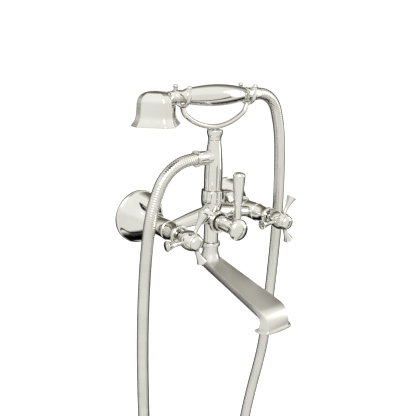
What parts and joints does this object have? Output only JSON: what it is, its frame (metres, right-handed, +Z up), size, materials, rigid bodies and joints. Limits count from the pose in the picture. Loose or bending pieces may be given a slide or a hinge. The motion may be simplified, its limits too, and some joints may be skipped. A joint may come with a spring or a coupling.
{
  "type": "wall mounted bath faucet",
  "caption": "Exposed wall bath faucet: two cross-handle valves, a bridge body, a swivelling waterfall-lip spout, a diverter lever and a riser with a hand shower resting on a forked cradle.",
  "frame": {"origin": "on the wall plane, midway between the centres of the two wall inlets", "axes": "+Y goes into the wall and the faucet stands out towards -Y, +X runs to the right inlet as seen from the room, +Z is up"},
  "size_m": [0.2522, 0.2175, 0.7304],
  "materials": {
    "nickel": "polished nickel",
    "brass": "machined",
    "rubber": "moulded",
    "ceramic": "sintered ceramic"
  },
  "bodies": {
    "faucet_root": {"left_wall_union": "brass", "left_escutcheon": "nickel", "left_union_washer": "rubber", "left_union_nut": "nickel", "left_valve_bonnet": "nickel", "left_ceramic_cartridge": "ceramic", "right_wall_union": "brass", "right_escutcheon": "nickel", "right_union_washer": "rubber", "right_union_nut": "nickel", "right_valve_bonnet": "nickel", "right_ceramic_cartridge": "ceramic", "mixer_body": "nickel", "diverter_bonnet": "nickel", "diverter_cartridge": "ceramic", "riser_column": "nickel", "riser_washer": "rubber", "hose_outlet_nipple": "brass", "outlet_hose_washer": "rubber", "outlet_hose_nut": "nickel", "cradle_cup": "nickel", "cradle_screw": "nickel", "cradle_fork": "nickel", "shower_hose": "nickel", "spout_nut": "nickel"},
    "left_handle_body": {"left_valve_spindle": "nickel", "left_handle": "nickel", "left_handle_screw": "brass", "left_handle_cap": "nickel"},
    "right_handle_body": {"right_valve_spindle": "nickel", "right_handle": "nickel", "right_handle_screw": "brass", "right_handle_cap": "nickel"},
    "diverter_body": {"diverter_spindle": "brass", "diverter_knob": "nickel", "diverter_lever": "nickel", "lever_grub_screw": "brass"},
    "spout_body": {"spout": "nickel", "spout_o_ring": "rubber"},
    "hand_shower_body": {"handset_grip": "nickel", "handset_neck": "nickel", "handset_end_collar": "nickel", "handset_inner_tube": "brass", "handset_hose_washer": "rubber", "handset_hose_nut": "nickel", "handset_head": "nickel", "spray_plate": "nickel", "spray_screw": "nickel", "spray_seal": "rubber"}
  },
  "joints": [
    {"name": "left_handle_turn", "type": "hinge", "parent": "faucet_root", "child": "left_handle_body", "pos_m": [-0.075, -0.118, 0], "axis": [0, 1, 0], "range_deg": [0, 90]},
    {"name": "right_handle_turn", "type": "hinge", "parent": "faucet_root", "child": "right_handle_body", "pos_m": [0.075, -0.118, 0], "axis": [0, 1, 0], "range_deg": [-90, 0]},
    {"name": "diverter_turn", "type": "hinge", "parent": "faucet_root", "child": "diverter_body", "pos_m": [0, -0.116, 0], "axis": [0, 1, 0], "range_deg": [-45, 45]},
    {"name": "spout_swivel", "type": "hinge", "parent": "faucet_root", "child": "spout_body", "pos_m": [0, -0.0628, -0.045], "axis": [0, 0, 1], "range_deg": [-45, 45]},
    {"name": "hand_shower_lift", "type": "slide", "parent": "faucet_root", "child": "hand_shower_body", "axis": [0, 0, 1], "range_m": [0, 0.07]}
  ]
}
